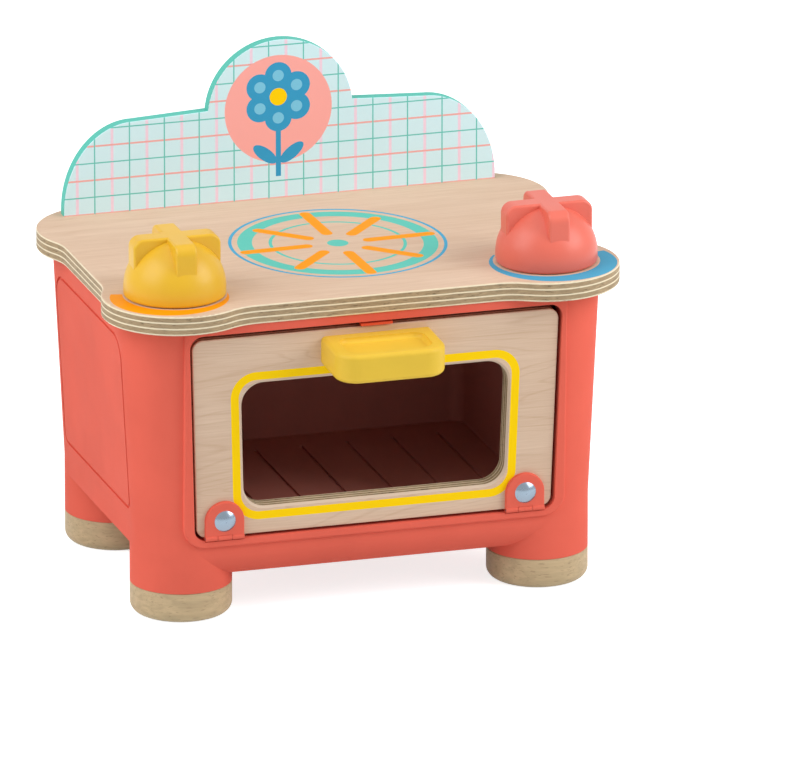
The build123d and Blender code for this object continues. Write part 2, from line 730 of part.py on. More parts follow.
# ---------------------------------------------------------------- hinges and rivets
knuckle_half = hinge_width / 2
rivet_crown_radius = (rivet_head_radius ** 2 + rivet_head_height ** 2) / (2 * rivet_head_height)
leaf_head_taper = degrees(atan2(leaf_screw_head - leaf_screw_radius, leaf_thickness))
for name, middle, seat in (("left", -hinge_x, leaf_seats[0]), ("right", hinge_x, leaf_seats[1])):
    pivot = across(middle - knuckle_half, -knuckle_drop, hinge_out)
    with BuildPart() as tab:
        with BuildSketch(face):
            with Locations((middle, rivet_height)):
                Circle(knuckle_half)
            with Locations((middle, (rivet_height - knuckle_drop) / 2)):
                Rectangle(hinge_width, rivet_height + knuckle_drop)
        extrude(amount=tab_thickness)
        fillet(tab.faces().sort_by(outward)[-1].edges().sort_by(Axis.Z)[1:], radius=tab_edge)
        with BuildSketch(pivot):
            Circle(knuckle_radius)
        extrude(amount=hinge_width)
        # Room for the fixed knuckle in the middle.
        with BuildSketch(across(middle - fixed_knuckle / 2 - knuckle_gap, -knuckle_drop, hinge_out)):
            Circle(knuckle_radius + knuckle_gap)
        extrude(amount=fixed_knuckle + 2 * knuckle_gap, mode=Mode.SUBTRACT)
        with BuildSketch(face):
            with Locations((middle, -knuckle_drop - knuckle_radius)):
                Rectangle(fixed_knuckle + 2 * knuckle_gap, 2 * knuckle_radius)
        extrude(amount=2 * tab_thickness, mode=Mode.SUBTRACT)
        with BuildSketch(pivot):
            Circle(pin_radius + running)
        extrude(amount=hinge_width, mode=Mode.SUBTRACT)
        with BuildSketch(face):
            with Locations((middle, rivet_height)):
                Circle(rivet_radius)
        extrude(amount=tab_thickness, mode=Mode.SUBTRACT)
    save(tab, name + "_hinge_tab")

    with BuildPart() as leaf:
        with BuildSketch(across(middle - fixed_knuckle / 2, -knuckle_drop, hinge_out)):
            Circle(knuckle_radius)
        extrude(amount=fixed_knuckle)
        with BuildSketch(face):
            with Locations((middle, leaf_top - leaf_thickness / 2)):
                Rectangle(fixed_knuckle, leaf_thickness)
        extrude(amount=hinge_out)
        with BuildSketch(face.offset(-gap)):
            with Locations((middle, leaf_top - leaf_thickness / 2)):
                Rectangle(hinge_width, leaf_thickness)
        extrude(amount=-(leaf_depth - gap))
        with BuildSketch(face.offset(-gap)):
            with Locations((middle, leaf_top - leaf_thickness / 2)):
                Rectangle(fixed_knuckle, leaf_thickness)
        extrude(amount=gap)
        with BuildSketch(across(middle - fixed_knuckle / 2, -knuckle_drop, hinge_out)):
            Circle(pin_radius)
        extrude(amount=fixed_knuckle, mode=Mode.SUBTRACT)
        with BuildSketch(seat):
            Circle(leaf_screw_head)
        extrude(amount=-leaf_thickness, taper=leaf_head_taper, mode=Mode.SUBTRACT)
    save(leaf, name + "_hinge_leaf")

    with BuildPart() as pin:
        with BuildSketch(pivot):
            Circle(pin_radius)
        extrude(amount=hinge_width)
    save(pin, name + "_hinge_pin")

    rivet_base = face.from_local_coords(Vector(middle, rivet_height, 0))
    with BuildPart() as rivet:
        with BuildSketch(Plane(origin=rivet_base, x_dir=(1, 0, 0), z_dir=up)):
            tail = door_thickness + rivet_tail_height
            crown = -tab_thickness - rivet_head_height
            with BuildLine():
                Polyline(
                    (0, crown), (0, tail), (rivet_tail_radius, tail),
                    (rivet_tail_radius, door_thickness), (rivet_radius, door_thickness),
                    (rivet_radius, -tab_thickness), (rivet_head_radius, -tab_thickness),
                )
                RadiusArc((rivet_head_radius, -tab_thickness), (0, crown), radius=rivet_crown_radius)
            make_face()
        revolve(axis=Axis(rivet_base, outward.direction))
    save(rivet, name + "_rivet")

with BuildPart() as hinge_screws:
    for seat in leaf_seats:
        with BuildSketch(Plane(origin=seat.origin, x_dir=(1, 0, 0), z_dir=-outward.direction)):
            countersunk(leaf_screw_radius, leaf_screw_length, leaf_screw_head, leaf_thickness)
        revolve(axis=Axis(seat.origin, up))
save(hinge_screws, "hinge_screws")

# ---------------------------------------------------------------- catch
# A springy strip: its foot is screwed under the top, and its nose lies over the door's top edge.
nose_height = door_height + catch_play
nose_root = face.from_local_coords(Vector(0, nose_height, 0))
foot_front = catch_screw_y - catch_foot / 2
nose_length = (foot_front - nose_root.Y) / cos(lean)
riser_low = nose_root.Z + nose_length * sin(lean)
with BuildPart() as door_catch:
    with BuildSketch(face.offset(rim_proud)):
        with Locations((0, nose_height + catch_thickness / 2)):
            Rectangle(2 * catch_half_width, catch_thickness)
    extrude(amount=-(rim_proud + nose_length))
    with Locations((0, foot_front - catch_thickness / 2, (riser_low + shell_top) / 2)):
        Box(2 * catch_half_width, catch_thickness, shell_top - riser_low)
    with Locations((0, catch_screw_y - catch_thickness / 2, shell_top - catch_thickness / 2)):
        Box(2 * catch_half_width, catch_foot + catch_thickness, catch_thickness)
    for x, y in catch_screws_at:
        with Locations((x, y, shell_top)):
            Cylinder(catch_screw_radius, 4 * catch_thickness, mode=Mode.SUBTRACT)
save(door_catch, "door_catch")

with BuildPart() as catch_screws:
    for x, y in catch_screws_at:
        foot_low = shell_top - catch_thickness
        with BuildSketch(Plane(origin=(x, y, foot_low), x_dir=(1, 0, 0), z_dir=(0, -1, 0))):
            panhead(catch_screw_radius, catch_screw_length, 2 * catch_screw_radius, catch_screw_radius)
        revolve(axis=Axis((x, y, 0), (0, 0, 1)))
save(catch_screws, "catch_screws")
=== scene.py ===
import json
from math import cos, pi, radians, sin

import bpy
from bpy.props import FloatProperty, FloatVectorProperty, IntProperty, PointerProperty
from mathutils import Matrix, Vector


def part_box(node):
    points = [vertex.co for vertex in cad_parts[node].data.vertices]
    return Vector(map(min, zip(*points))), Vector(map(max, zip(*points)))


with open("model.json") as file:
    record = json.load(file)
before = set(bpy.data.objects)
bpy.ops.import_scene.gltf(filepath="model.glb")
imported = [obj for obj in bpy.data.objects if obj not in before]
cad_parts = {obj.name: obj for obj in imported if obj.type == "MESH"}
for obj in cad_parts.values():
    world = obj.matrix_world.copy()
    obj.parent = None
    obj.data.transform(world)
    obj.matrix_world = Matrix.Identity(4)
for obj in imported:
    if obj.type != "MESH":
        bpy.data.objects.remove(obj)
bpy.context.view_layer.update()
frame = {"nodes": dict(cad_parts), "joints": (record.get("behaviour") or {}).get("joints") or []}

bl_info = {
    "name": "Toy Oven",
    "version": (1, 0, 0),
    "blender": (4, 5, 0),
    "location": "View3D > Sidebar > Toy Oven",
    "description": "Finishes a toy oven: moulded shell, plywood boards, printed splashback and knobs",
    "category": "Add Mesh",
}

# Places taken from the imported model, in metres.
BOARD_LOW, BOARD_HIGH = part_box("tabletop")
LEFT_KNOB_LOW, LEFT_KNOB_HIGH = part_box("left_knob")
RIGHT_KNOB_LOW, RIGHT_KNOB_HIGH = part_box("right_knob")
HINGE = Vector(next(joint for joint in frame["joints"] if joint["name"] == "door_hinge")["pos_m"])

# The door and everything on it lean forward by this much. The hinge line lies in front of the
# door's face and below its foot.
LEAN = radians(1.8)
DOOR_OUT = Vector((0, -cos(LEAN), -sin(LEAN)))
DOOR_UP = Vector((0, -sin(LEAN), cos(LEAN)))
HINGE_OUT = 0.0013
HINGE_DROP = 0.0001
DOOR_FOOT = HINGE - DOOR_OUT * HINGE_OUT + DOOR_UP * HINGE_DROP

# Depth of the door's layers, and of the prints on the door and the top, behind the face.
DOOR_LAYERS = 0.0085
DOOR_PRINT = 0.0008
TOP_PRINT = 0.0004
# How much the stripe widens on each side for each metre up.
STRIPE_FLARE = 0.03

# The flower's leaves: middle and half lengths of the right one, and how far its tip turns up.
LEAF_MIDDLE = (0.0062, -0.0262)
LEAF_HALF = (0.0066, 0.0028)
LEAF_TURN = radians(38)
# Radius of the light mark on a petal, against the petal's.
PETAL_MARK = 0.42

# Colour beside each knob: part of an offset disc, outside a ring round the knob, within half a
# span of a middle direction.
ORANGE_PATCH = {"offset": (-0.0035, -0.0038), "radius": 0.0261, "inner": 0.0229,
                "middle": radians(256.6), "half_span": radians(93.3)}
BLUE_PATCH = {"offset": (0.0020, -0.0034), "radius": 0.0282, "inner": 0.0236,
              "middle": radians(258.9), "half_span": radians(113.9)}

# How squarely a board's surface faces out, 0 to 1: where its edge ends and its face starts, the middle
# and span of the painted highlight on the bevels round the window, and where the splashback's paint ends.
EDGE_END, FACE_START = 0.55, 0.8
HIGHLIGHT_FACING, HIGHLIGHT_SPAN = 0.72, 0.22
PAINT_END = 0.6

# Fineness of the noises, in features to the metre. Where there are three numbers in veneer, they
# run along the grain, across it and through the board; elsewhere they are by x, y and z.
PLASTIC_CLOUD, PLASTIC_SHEEN, PLASTIC_PEBBLE = 18, 55, 2600
VENEER_STREAKS = (36, 1500, 1500)
VENEER_BANDS = (7, 120, 60)
VENEER_LINES = (4.5, 34, 20)
VENEER_FLECKS = (190, 3300, 900)
PLY_SWELL = 60
PLY_FIBRE = (420, 420, 2600)
PLY_PORES = (260, 260, 1500)
PLY_CLOUD = (150, 150, 700)
BEECH_GRAIN = (30, 260, 420)
BEECH_FLECKS = (170, 900, 1700)
PLAID_SPECKLE = 900

# Height of the relief, in metres.
PEBBLE_RELIEF = 0.00004
VENEER_RELIEF = 0.00005
BEECH_RELIEF = 0.00012
# Part of a wood's relief that its ridges make; its flecks make the rest.
VENEER_RIDGES, BEECH_RIDGES = 0.6, 0.5

# How much the plastic's roughness varies.
SHEEN_SPAN = 0.16
# How far the layers of plywood wander, and where a light layer's soft edge starts and ends, in metres.
PLY_WANDER = 0.0004
PLY_LINE_START, PLY_LINE_END = -0.0001, 0.00015
# How strongly the clouds and pores show in plywood's dark layers, and the flecks in beech.
PLY_CLOUD_PART, PLY_PORE_PART, BEECH_FLECK_PART = 0.5, 0.85, 0.6
# Part that each kind of grain has in the veneer's darkness, and the level below which none shows.
STREAK_PART, BAND_PART, FLECK_PART = 1.25, 0.8, 0.22
GRAIN_LEVEL = 0.67
# The veneer's long lines are contours of a noise: how far apart in level, and how soft.
LINE_PITCH, LINE_SOFTNESS = 0.06, 0.011
# The boards are cut from different places of the same veneer, so far along the grain.
DOOR_CUT, SPLASHBACK_CUT = 0.31, 0.7

# How the names of the zinc-plated pieces end.
ZINC_ENDINGS = ("screws", "screw", "washer", "pin")

# Soft lamps: turn round from the front, rise above level, and width in metres.
LAMPS = {
    "left_lamp": (radians(-78), radians(34), 0.8),
    "right_lamp": (radians(58), radians(28), 0.7),
    "top_lamp": (radians(-20), radians(78), 1.0),
}


def shade(code):
    """A colour as it is seen on a screen, such as F0C040, in the linear values that a shader takes."""
    screen = [int(code[i:i + 2], 16) / 255 for i in (0, 2, 4)]
    return tuple(v / 12.92 if v < 0.04045 else ((v + 0.055) / 1.055) ** 2.4 for v in screen)


def scaled(tint, factor):
    """A colour made lighter or darker."""
    return tuple(v * factor for v in tint)


def colour(name, code, description):
    """A setting that holds a colour."""
    return FloatVectorProperty(name=name, description=description, default=shade(code),
                               subtype="COLOR", size=3, min=0.0, max=1.0)


def length(name, default, description):
    """A setting that holds a length in metres."""
    return FloatProperty(name=name, description=description, default=default, subtype="DISTANCE",
                         unit="LENGTH", precision=4)


# ---------------------------------------------------------------- settings
class ToyOvenColours(bpy.types.PropertyGroup):
    shell: colour("Shell", "EA6A58", "Moulded shell, hinge tabs and leaves")
    # The oven box's colour is the shell's coral made duller and greyer: painted shade of the inside.
    oven: colour("Oven box", "C47C70", "Inside of the oven")
    veneer: colour("Veneer", "DFC3AB", "Face of the plywood top and door")
    veneer_line: colour("Veneer grain", "C9A78B", "Darker grain lines of the veneer")
    # Colour of the painted highlight on the door's bevels, toned close to the veneer.
    bevel: colour("Bevel", "DBC3AC", "Sanded bevels of the door")
    ply_light: colour("Light ply", "F3E3C4", "Thin glue-side layers on a plywood edge")
    ply_dark: colour("Dark ply", "A68F70", "Cross layers on a plywood edge")
    beech: colour("Beech", "C6AD86", "Turned feet")
    beech_fleck: colour("Beech fleck", "9C8462", "Short dark flecks in the feet")
    handle: colour("Handle", "EBC240", "Door handle")
    yellow: colour("Yellow", "E4B326", "Left knob")
    red: colour("Red", "EA705D", "Right knob")
    stripe: colour("Stripe", "FFD200", "Stripe round the window")
    teal: colour("Teal", "60C4B4", "Hob ring and splashback edge")
    blue: colour("Blue", "47A4C9", "Hob outline and patch by the right knob")
    orange: colour("Orange", "F69A08", "Hob bars and patch by the left knob")
    plaid_ground: colour("Plaid ground", "D2F0F6", "Pale ground of the splashback")
    plaid_pink: colour("Plaid pink", "F0D3E3", "Wide upright lines of the plaid")
    plaid_coral: colour("Plaid coral", "EFA9A3", "Every other level line of the plaid")
    plaid_green: colour("Plaid green", "6CC6BC", "Thin lines of the plaid")
    badge: colour("Badge", "FBACA4", "Disc on the splashback")
    petal: colour("Petal", "3A9CC8", "Flower on the disc")
    petal_light: colour("Light petal", "7CC6E2", "Light marks on the petals")
    catch: colour("Catch", "E4583A", "Door catch")
    bush: colour("Bush", "E8E4DA", "Knob bushes")
    steel: colour("Steel", "8E9BA8", "Rivets on the hinge tabs")
    steel_dark: colour("Dark steel", "7F8D9B", "Darker clouds on the rivets")
    zinc: colour("Zinc", "C4C7CA", "Hinge pins, screws and washers")
    zinc_dark: colour("Dark zinc", "9C9FA3", "Darker clouds on the zinc")


class ToyOvenSizes(bpy.types.PropertyGroup):
    veneer_line: length("Veneer line", 0.0009, "Height of the outer light layers on an edge")
    inner_line: length("Inner line", 0.0006, "Height of the inner light layers on an edge")
    plies: IntProperty(name="Cross layers", description="Dark layers in a board", default=3, min=1)
    hob_x: length("Hob X", 0.0047, "Middle of the hob print, across")
    hob_y: length("Hob Y", 0.0084, "Middle of the hob print, front to back")
    hob_outline: length("Hob outline", 0.0474, "Radius of the thin outer ring")
    hob_stretch: FloatProperty(name="Hob stretch", description="Front to back against across",
                               default=1.06)
    hob_line: length("Hob line", 0.0015, "Width of the thin rings")
    hob_ring: length("Hob ring", 0.0409, "Radius of the wide ring")
    hob_ring_width: length("Hob ring width", 0.0065, "Width of the wide ring")
    hob_inner: length("Hob inner ring", 0.0296, "Radius of the thin inner ring")
    hob_dot: length("Hob dot", 0.0047, "Radius of the middle dot")
    hob_bars: IntProperty(name="Hob bars", description="Bars round the hob, long and short by turns",
                          default=8, min=2)
    hob_turn: FloatProperty(name="Hob turn", description="Turn of the first bar", unit="ROTATION",
                            default=radians(2.0))
    hob_bar_start: length("Bar start", 0.0118, "Where the bars start")
    hob_bar_long: length("Long bar", 0.0452, "Where the long bars end")
    hob_bar_short: length("Short bar", 0.0412, "Where the short bars end")
    hob_bar_width: length("Bar width", 0.0052, "Width of a bar")
    stripe_side: length("Stripe half width", 0.0654, "Half the stripe's outer width at mid height")
    stripe_low: length("Stripe low", 0.0064, "Stripe's lower edge, up from the door's foot")
    stripe_high: length("Stripe high", 0.0748, "Stripe's upper edge, up from the door's foot")
    stripe_round: length("Stripe corner", 0.0120, "Stripe's outer corner radius")
    stripe_width: length("Stripe width", 0.0037, "Width of the stripe")
    plaid_pitch: length("Plaid pitch", 0.0161, "Distance between like lines of the plaid")
    plaid_rise: length("Plaid rise", 0.0157, "Distance between like level lines of the plaid")
    plaid_shift: length("Plaid shift", -0.0053, "Where one thin upright line stands")
    plaid_wide: length("Plaid wide line", 0.0013, "Width of the wide upright lines")
    plaid_thin: length("Plaid thin line", 0.0006, "Width of the thin lines")
    plaid_level: length("Plaid level line", 0.0008, "Width of every other level line")
    badge_radius: length("Badge", 0.0248, "Radius of the disc on the splashback")
    badge_height: length("Badge height", 0.0413, "Middle of the disc above the top")
    badge_x: length("Badge X", -0.0009, "Middle of the disc, across")
    flower_rise: length("Flower", 0.0055, "Middle of the flower above the disc's")
    petals: IntProperty(name="Petals", description="Petals of the flower", default=6, min=3)
    petal_reach: length("Petal reach", 0.0098, "Middle of a petal from the flower's")
    petal_radius: length("Petal", 0.0062, "Radius of a petal")
    flower_eye: length("Flower eye", 0.0040, "Radius of the flower's middle")
    stem_length: length("Stem", 0.0368, "Stem, down from the flower's middle")
    stem_width: length("Stem width", 0.0024, "Width of the stem")


class ToyOvenStudio(bpy.types.PropertyGroup):
    azimuth: FloatProperty(name="Azimuth", description="Camera, round from the front", unit="ROTATION",
                           default=radians(-17.01))
    elevation: FloatProperty(name="Elevation", description="Camera, above level", unit="ROTATION",
                             default=radians(17.88))
    distance: length("Distance", 7.0017, "Camera from its target")
    target: FloatVectorProperty(name="Target", description="Point that the camera looks at", unit="LENGTH",
                                subtype="TRANSLATION", default=(0.00966, -0.06385, 0.0987))
    lens: FloatProperty(name="Lens", description="Focal length", unit="CAMERA", default=726.4)
    sensor: FloatProperty(name="Sensor", description="Width of the camera's sensor", unit="CAMERA",
                          default=36.0)
    view_end: length("View end", 100.0, "Farthest that the camera sees")
    left_lamp: FloatProperty(name="Left lamp", description="Power of the soft lamp on the left",
                             unit="POWER", default=7.2)
    right_lamp: FloatProperty(name="Right lamp", description="Power of the soft lamp on the right",
                              unit="POWER", default=7.6)
    top_lamp: FloatProperty(name="Top lamp", description="Power of the soft lamp above",
                            unit="POWER", default=2.6)
    lamp_distance: length("Lamp distance", 1.1, "Lamps from the oven")
    sky: FloatProperty(name="Sky", description="Strength of the light from all round", default=0.40)
    floor_half: length("Floor", 3.0, "Half the floor's width")
    floor_tint: FloatVectorProperty(name="Floor tint", description="Colour that the floor reflects",
                                    subtype="COLOR", size=3, min=0.0, max=1.0,
                                    default=(0.74, 0.80, 0.82))
    floor_glow: FloatProperty(name="Floor glow", description="Light that the floor itself shows",
                              default=0.76)


# ---------------------------------------------------------------- materials
class Value:
    """A number that changes over a surface, so that its nodes read as plain sums."""

    def __init__(self, nodes, socket):
        self.nodes, self.socket = nodes, socket

    def maths(self, operation, *others):
        return self.nodes.maths(operation, self, *others)

    def __add__(self, other):
        return self.maths("ADD", other)

    def __sub__(self, other):
        return self.maths("SUBTRACT", other)

    def __rsub__(self, other):
        return self.nodes.maths("SUBTRACT", other, self)

    def __mul__(self, other):
        return self.maths("MULTIPLY", other)

    def __truediv__(self, other):
        return self.maths("DIVIDE", other)

    def __abs__(self):
        return self.maths("ABSOLUTE")

    def above(self, level):
        return self.maths("GREATER_THAN", level)

    def below(self, level):
        return self.maths("LESS_THAN", level)

    def both(self, other):
        return self.maths("MINIMUM", other)

    def either(self, other):
        return self.maths("MAXIMUM", other)

    def near(self, level, width):
        """1 within half the width of a level, else 0."""
        return abs(self - level).below(width / 2)

    def wave(self, pitch, shift=0.0):
        """Signed distance to the nearest of evenly spaced lines."""
        turns = (self - shift) / pitch + 0.5
        return (turns - turns.maths("FLOOR") - 0.5) * pitch


class Nodes:
    """The nodes of a material or of the world."""

    def __init__(self, tree):
        self.tree = tree

    def add(self, kind, *values, **settings):
        """A node with its first inputs given in order and its settings by name."""
        node = self.tree.nodes.new(kind)
        for label, setting in settings.items():
            setattr(node, label, setting)
        for socket, value in zip(node.inputs, values):
            self.join(value, socket)
        return node

    def join(self, value, socket):
        """Gives a socket a number, a colour or what another node puts out."""
        if isinstance(value, Value):
            value = value.socket
        if isinstance(value, bpy.types.NodeSocket):
            self.tree.links.new(value, socket)
        elif socket.type == "RGBA":
            socket.default_value = (*value, 1.0)
        else:
            socket.default_value = value

    def maths(self, operation, *values):
        return Value(self, self.add("ShaderNodeMath", *values, operation=operation).outputs[0])

    def shown(self):
        """1 for rays that show the stage itself, straight or in a shiny or clear piece, else 0."""
        rays = self.add("ShaderNodeLightPath").outputs
        straight, shiny, clear = (Value(self, rays[f"Is {kind} Ray"])
                                  for kind in ("Camera", "Glossy", "Transmission"))
        return straight.either(shiny).either(clear)


class Finish(Nodes):
    """One material and the nodes that it is made of. Its shader's plain values stay on the shader."""

    def __init__(self, name, **values):
        self.material = bpy.data.materials.new(name)
        self.material.use_nodes = True
        super().__init__(self.material.node_tree)
        self.shader = self.tree.nodes["Principled BSDF"]
        for label, value in values.items():
            self.join(value, self.shader.inputs[label.replace("_", " ").title().replace("Ior", "IOR")])
        self.place = self.add("ShaderNodeTexCoord").outputs["Object"]
        parts = self.add("ShaderNodeSeparateXYZ", self.place)
        self.x, self.y, self.z = (Value(self, socket) for socket in parts.outputs)

    def noise(self, fineness, place=None, detail=3.0, roughness=0.55, distortion=0.0):
        """Cloudy noise, 0 to 1, with so many features to the metre, alike or by x, y and z."""
        mapping = self.add("ShaderNodeMapping", place or self.place)
        mapping.inputs["Scale"].default_value = fineness if isinstance(fineness, tuple) else (fineness,) * 3
        node = self.add("ShaderNodeTexNoise", mapping.outputs[0])
        node.inputs["Scale"].default_value = 1.0
        node.inputs["Detail"].default_value = detail
        node.inputs["Roughness"].default_value = roughness
        node.inputs["Distortion"].default_value = distortion
        return Value(self, node.outputs[0])

    def point(self, x, y, z):
        return self.add("ShaderNodeCombineXYZ", x, y, z).outputs[0]

    def dot(self, vector, direction):
        node = self.add("ShaderNodeVectorMath", vector, direction, operation="DOT_PRODUCT")
        return Value(self, node.outputs["Value"])

    def facing(self, direction):
        """How squarely the surface faces a direction of the piece itself, -1 to 1."""
        normal = self.add("ShaderNodeNewGeometry").outputs["Normal"]
        turned = self.add("ShaderNodeVectorTransform", normal, vector_type="NORMAL",
                          convert_from="WORLD", convert_to="OBJECT")
        return self.dot(turned.outputs[0], direction)

    def along(self, start, direction):
        """Distance of the surface from a point, along a direction."""
        away = self.add("ShaderNodeVectorMath", self.place, start, operation="SUBTRACT")
        return self.dot(away.outputs[0], direction)

    def spread(self, value, low, high):
        """A value's stretch from low to high, smoothed on to 0 to 1."""
        node = self.add("ShaderNodeMapRange", value, low, high, interpolation_type="SMOOTHSTEP")
        return Value(self, node.outputs[0])

    def mix(self, share, first, second):
        """The second colour over the first, by a share of 0 to 1."""
        node = self.add("ShaderNodeMix", data_type="RGBA")
        self.join(share, node.inputs["Factor"])
        for label, tint in (("A", first), ("B", second)):
            self.join(tint, next(s for s in node.inputs if s.name == label and s.type == "RGBA"))
        return next(s for s in node.outputs if s.type == "RGBA")

    def colour(self, tint):
        self.join(tint, self.shader.inputs["Base Color"])

    def rough(self, value, smooth, dull):
        """Roughness from smooth to dull, as a value goes from 0 to 1."""
        self.join(value * (dull - smooth) + smooth, self.shader.inputs["Roughness"])

    def bump(self, height, depth):
        """Relief in metres, from a height between 0 and 1."""
        node = self.add("ShaderNodeBump")
        node.inputs["Distance"].default_value = depth
        self.join(height, node.inputs["Height"])
        self.join(node.outputs[0], self.shader.inputs["Normal"])


def reach(x, y):
    """Distance from the middle of a plane."""
    return (x * x + y * y).maths("SQRT")


def turned(x, y, angle):
    """A place's distances forward along a direction of the plane, and aside of it."""
    return x * cos(angle) + y * sin(angle), y * cos(angle) - x * sin(angle)


def dress(finish, *names):
    """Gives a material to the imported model's own pieces."""
    for name in names:
        mesh = frame["nodes"][name].data
        mesh.materials.clear()
        mesh.materials.append(finish.material)


def moulded(name, tint, smooth=0.42, gloss=0.18):
    """Satin moulded plastic: faint clouding of the colour and a fine pebbled skin."""
    finish = Finish(name, ior=1.46, specular_ior_level=gloss, subsurface_weight=0.04,
                    subsurface_scale=0.003, subsurface_radius=(1.0, 0.6, 0.5))
    cloud = finish.spread(finish.noise(PLASTIC_CLOUD, detail=4.0), low=0.25, high=0.75)
    finish.colour(finish.mix(cloud, scaled(tint, 0.9), tint))
    finish.rough(finish.noise(PLASTIC_SHEEN, detail=5.0), smooth, smooth + SHEEN_SPAN)
    finish.bump(finish.noise(PLASTIC_PEBBLE, detail=2.0, roughness=0.4), PEBBLE_RELIEF)
    return finish


def metal(name, dark, light, cloud, sheen, smooth, dull, grit, relief):
    """Bare metal. Its colour clouds from dark to light, its roughness from smooth to dull."""
    finish = Finish(name, metallic=1.0)
    finish.colour(finish.mix(finish.noise(cloud), dark, light))
    finish.rough(finish.noise(sheen), smooth, dull)
    finish.bump(finish.noise(grit, detail=2.0), relief)
    return finish


def veneer(finish, along, across, depth, look, contrast=0.13):
    """Face grain of a veneer: fine streaks, broader bands, flecks and a few wandering long lines."""
    place = finish.point(along, across, depth)
    streaks = finish.noise(VENEER_STREAKS, place, detail=4.0, roughness=0.68)
    bands = finish.noise(VENEER_BANDS, place, distortion=0.6)
    lines = finish.noise(VENEER_LINES, place, detail=2.0, distortion=0.8).wave(LINE_PITCH)
    lines = finish.spread(abs(lines), low=0.0, high=LINE_SOFTNESS)
    flecks = finish.spread(finish.noise(VENEER_FLECKS, place, detail=1.0), low=0.66, high=0.78)
    amount = (streaks * STREAK_PART + bands * BAND_PART - GRAIN_LEVEL).either(0.0)
    amount = amount + flecks * FLECK_PART + (1.0 - lines) * contrast
    finish.rough(streaks, smooth=0.42, dull=0.62)
    finish.bump(streaks * VENEER_RIDGES + (1.0 - flecks) * (1.0 - VENEER_RIDGES), VENEER_RELIEF)
    return finish.mix(amount.both(1.0), look.veneer, look.veneer_line)


def ply_edge(finish, level, place, thickness, look, sizes):
    """Light and dark layers on a board's edge. level runs from 0 at one face to the thickness."""
    pitch = (thickness - sizes.veneer_line) / sizes.plies
    swell = finish.noise(PLY_SWELL, place, detail=2.0) * PLY_WANDER - PLY_WANDER / 2
    gap = abs((level + swell - sizes.veneer_line / 2).wave(pitch))
    faces = level.near(0.0, 2 * sizes.veneer_line).either(level.near(thickness, 2 * sizes.veneer_line))
    half = faces * ((sizes.veneer_line - sizes.inner_line) / 2) + sizes.inner_line / 2
    line = 1.0 - finish.spread(gap - half, PLY_LINE_START, PLY_LINE_END)
    fibre = finish.noise(PLY_FIBRE, place, detail=4.0, roughness=0.65)
    pores = finish.spread(finish.noise(PLY_PORES, place, detail=2.0), low=0.56, high=0.74)
    cloud = finish.spread(finish.noise(PLY_CLOUD, place), low=0.3, high=0.7)
    dark = finish.mix(finish.spread(fibre, low=0.3, high=0.7), scaled(look.ply_dark, 1.3), look.ply_dark)
    dark = finish.mix(cloud * PLY_CLOUD_PART, dark, scaled(look.ply_dark, 0.72))
    dark = finish.mix(pores * PLY_PORE_PART, dark, scaled(look.ply_dark, 0.45))
    light = finish.mix(finish.spread(fibre, low=0.3, high=0.75), look.ply_light,
                       scaled(look.ply_light, 0.86))
    return finish.mix(line, dark, light)


def beech(look):
    """Turned beech, its grain level, with short dark flecks."""
    finish = Finish("beech", ior=1.45)
    grain = finish.noise(BEECH_GRAIN, detail=5.0, roughness=0.62, distortion=0.4)
    flecks = finish.spread(finish.noise(BEECH_FLECKS, detail=1.0), low=0.60, high=0.72)
    wood = finish.mix(finish.spread(grain, low=0.3, high=0.72), look.beech, scaled(look.beech, 0.80))
    finish.colour(finish.mix(flecks * BEECH_FLECK_PART, wood, look.beech_fleck))
    finish.rough(grain, smooth=0.45, dull=0.65)
    finish.bump(grain * BEECH_RIDGES + (1.0 - flecks) * (1.0 - BEECH_RIDGES), BEECH_RELIEF)
    return finish


def printed_board(name):
    """Plywood under a dull lacquer."""
    return Finish(name, ior=1.45, specular_ior_level=0.12)


def hob_print(finish, ground, look, sizes):
    """Rings and bars of a cooking plate, printed on the top."""
    x, y = finish.x - sizes.hob_x, (finish.y - sizes.hob_y) / sizes.hob_stretch
    radius = reach(x, y)
    teal = radius.near(sizes.hob_ring, sizes.hob_ring_width)
    teal = teal.either(radius.near(sizes.hob_inner, sizes.hob_line)).either(radius.below(sizes.hob_dot))
    ground = finish.mix(teal, ground, look.teal)
    ground = finish.mix(radius.near(sizes.hob_outline, sizes.hob_line), ground, look.blue)
    half = sizes.hob_bar_width / 2
    for number in range(sizes.hob_bars):
        end = sizes.hob_bar_short if number % 2 else sizes.hob_bar_long
        forward, aside = turned(x, y, sizes.hob_turn + number * 2 * pi / sizes.hob_bars)
        past = abs(forward - (sizes.hob_bar_start + end) / 2) - (end - sizes.hob_bar_start) / 2 + half
        ground = finish.mix(reach(past.either(0.0), aside).below(half), ground, look.orange)
    return ground


def patch_print(finish, ground, knob, tint, offset, radius, inner, middle, half_span):
    """A crescent of colour beside a knob."""
    x, y = finish.x - knob.x, finish.y - knob.y
    forward, aside = turned(x, y, middle)
    turn = abs(finish.maths("ARCTAN2", aside, forward))
    patch = reach(x - offset[0], y - offset[1]).below(radius).both(turn.below(half_span))
    return finish.mix(patch.both(reach(x, y).above(inner)), ground, tint)


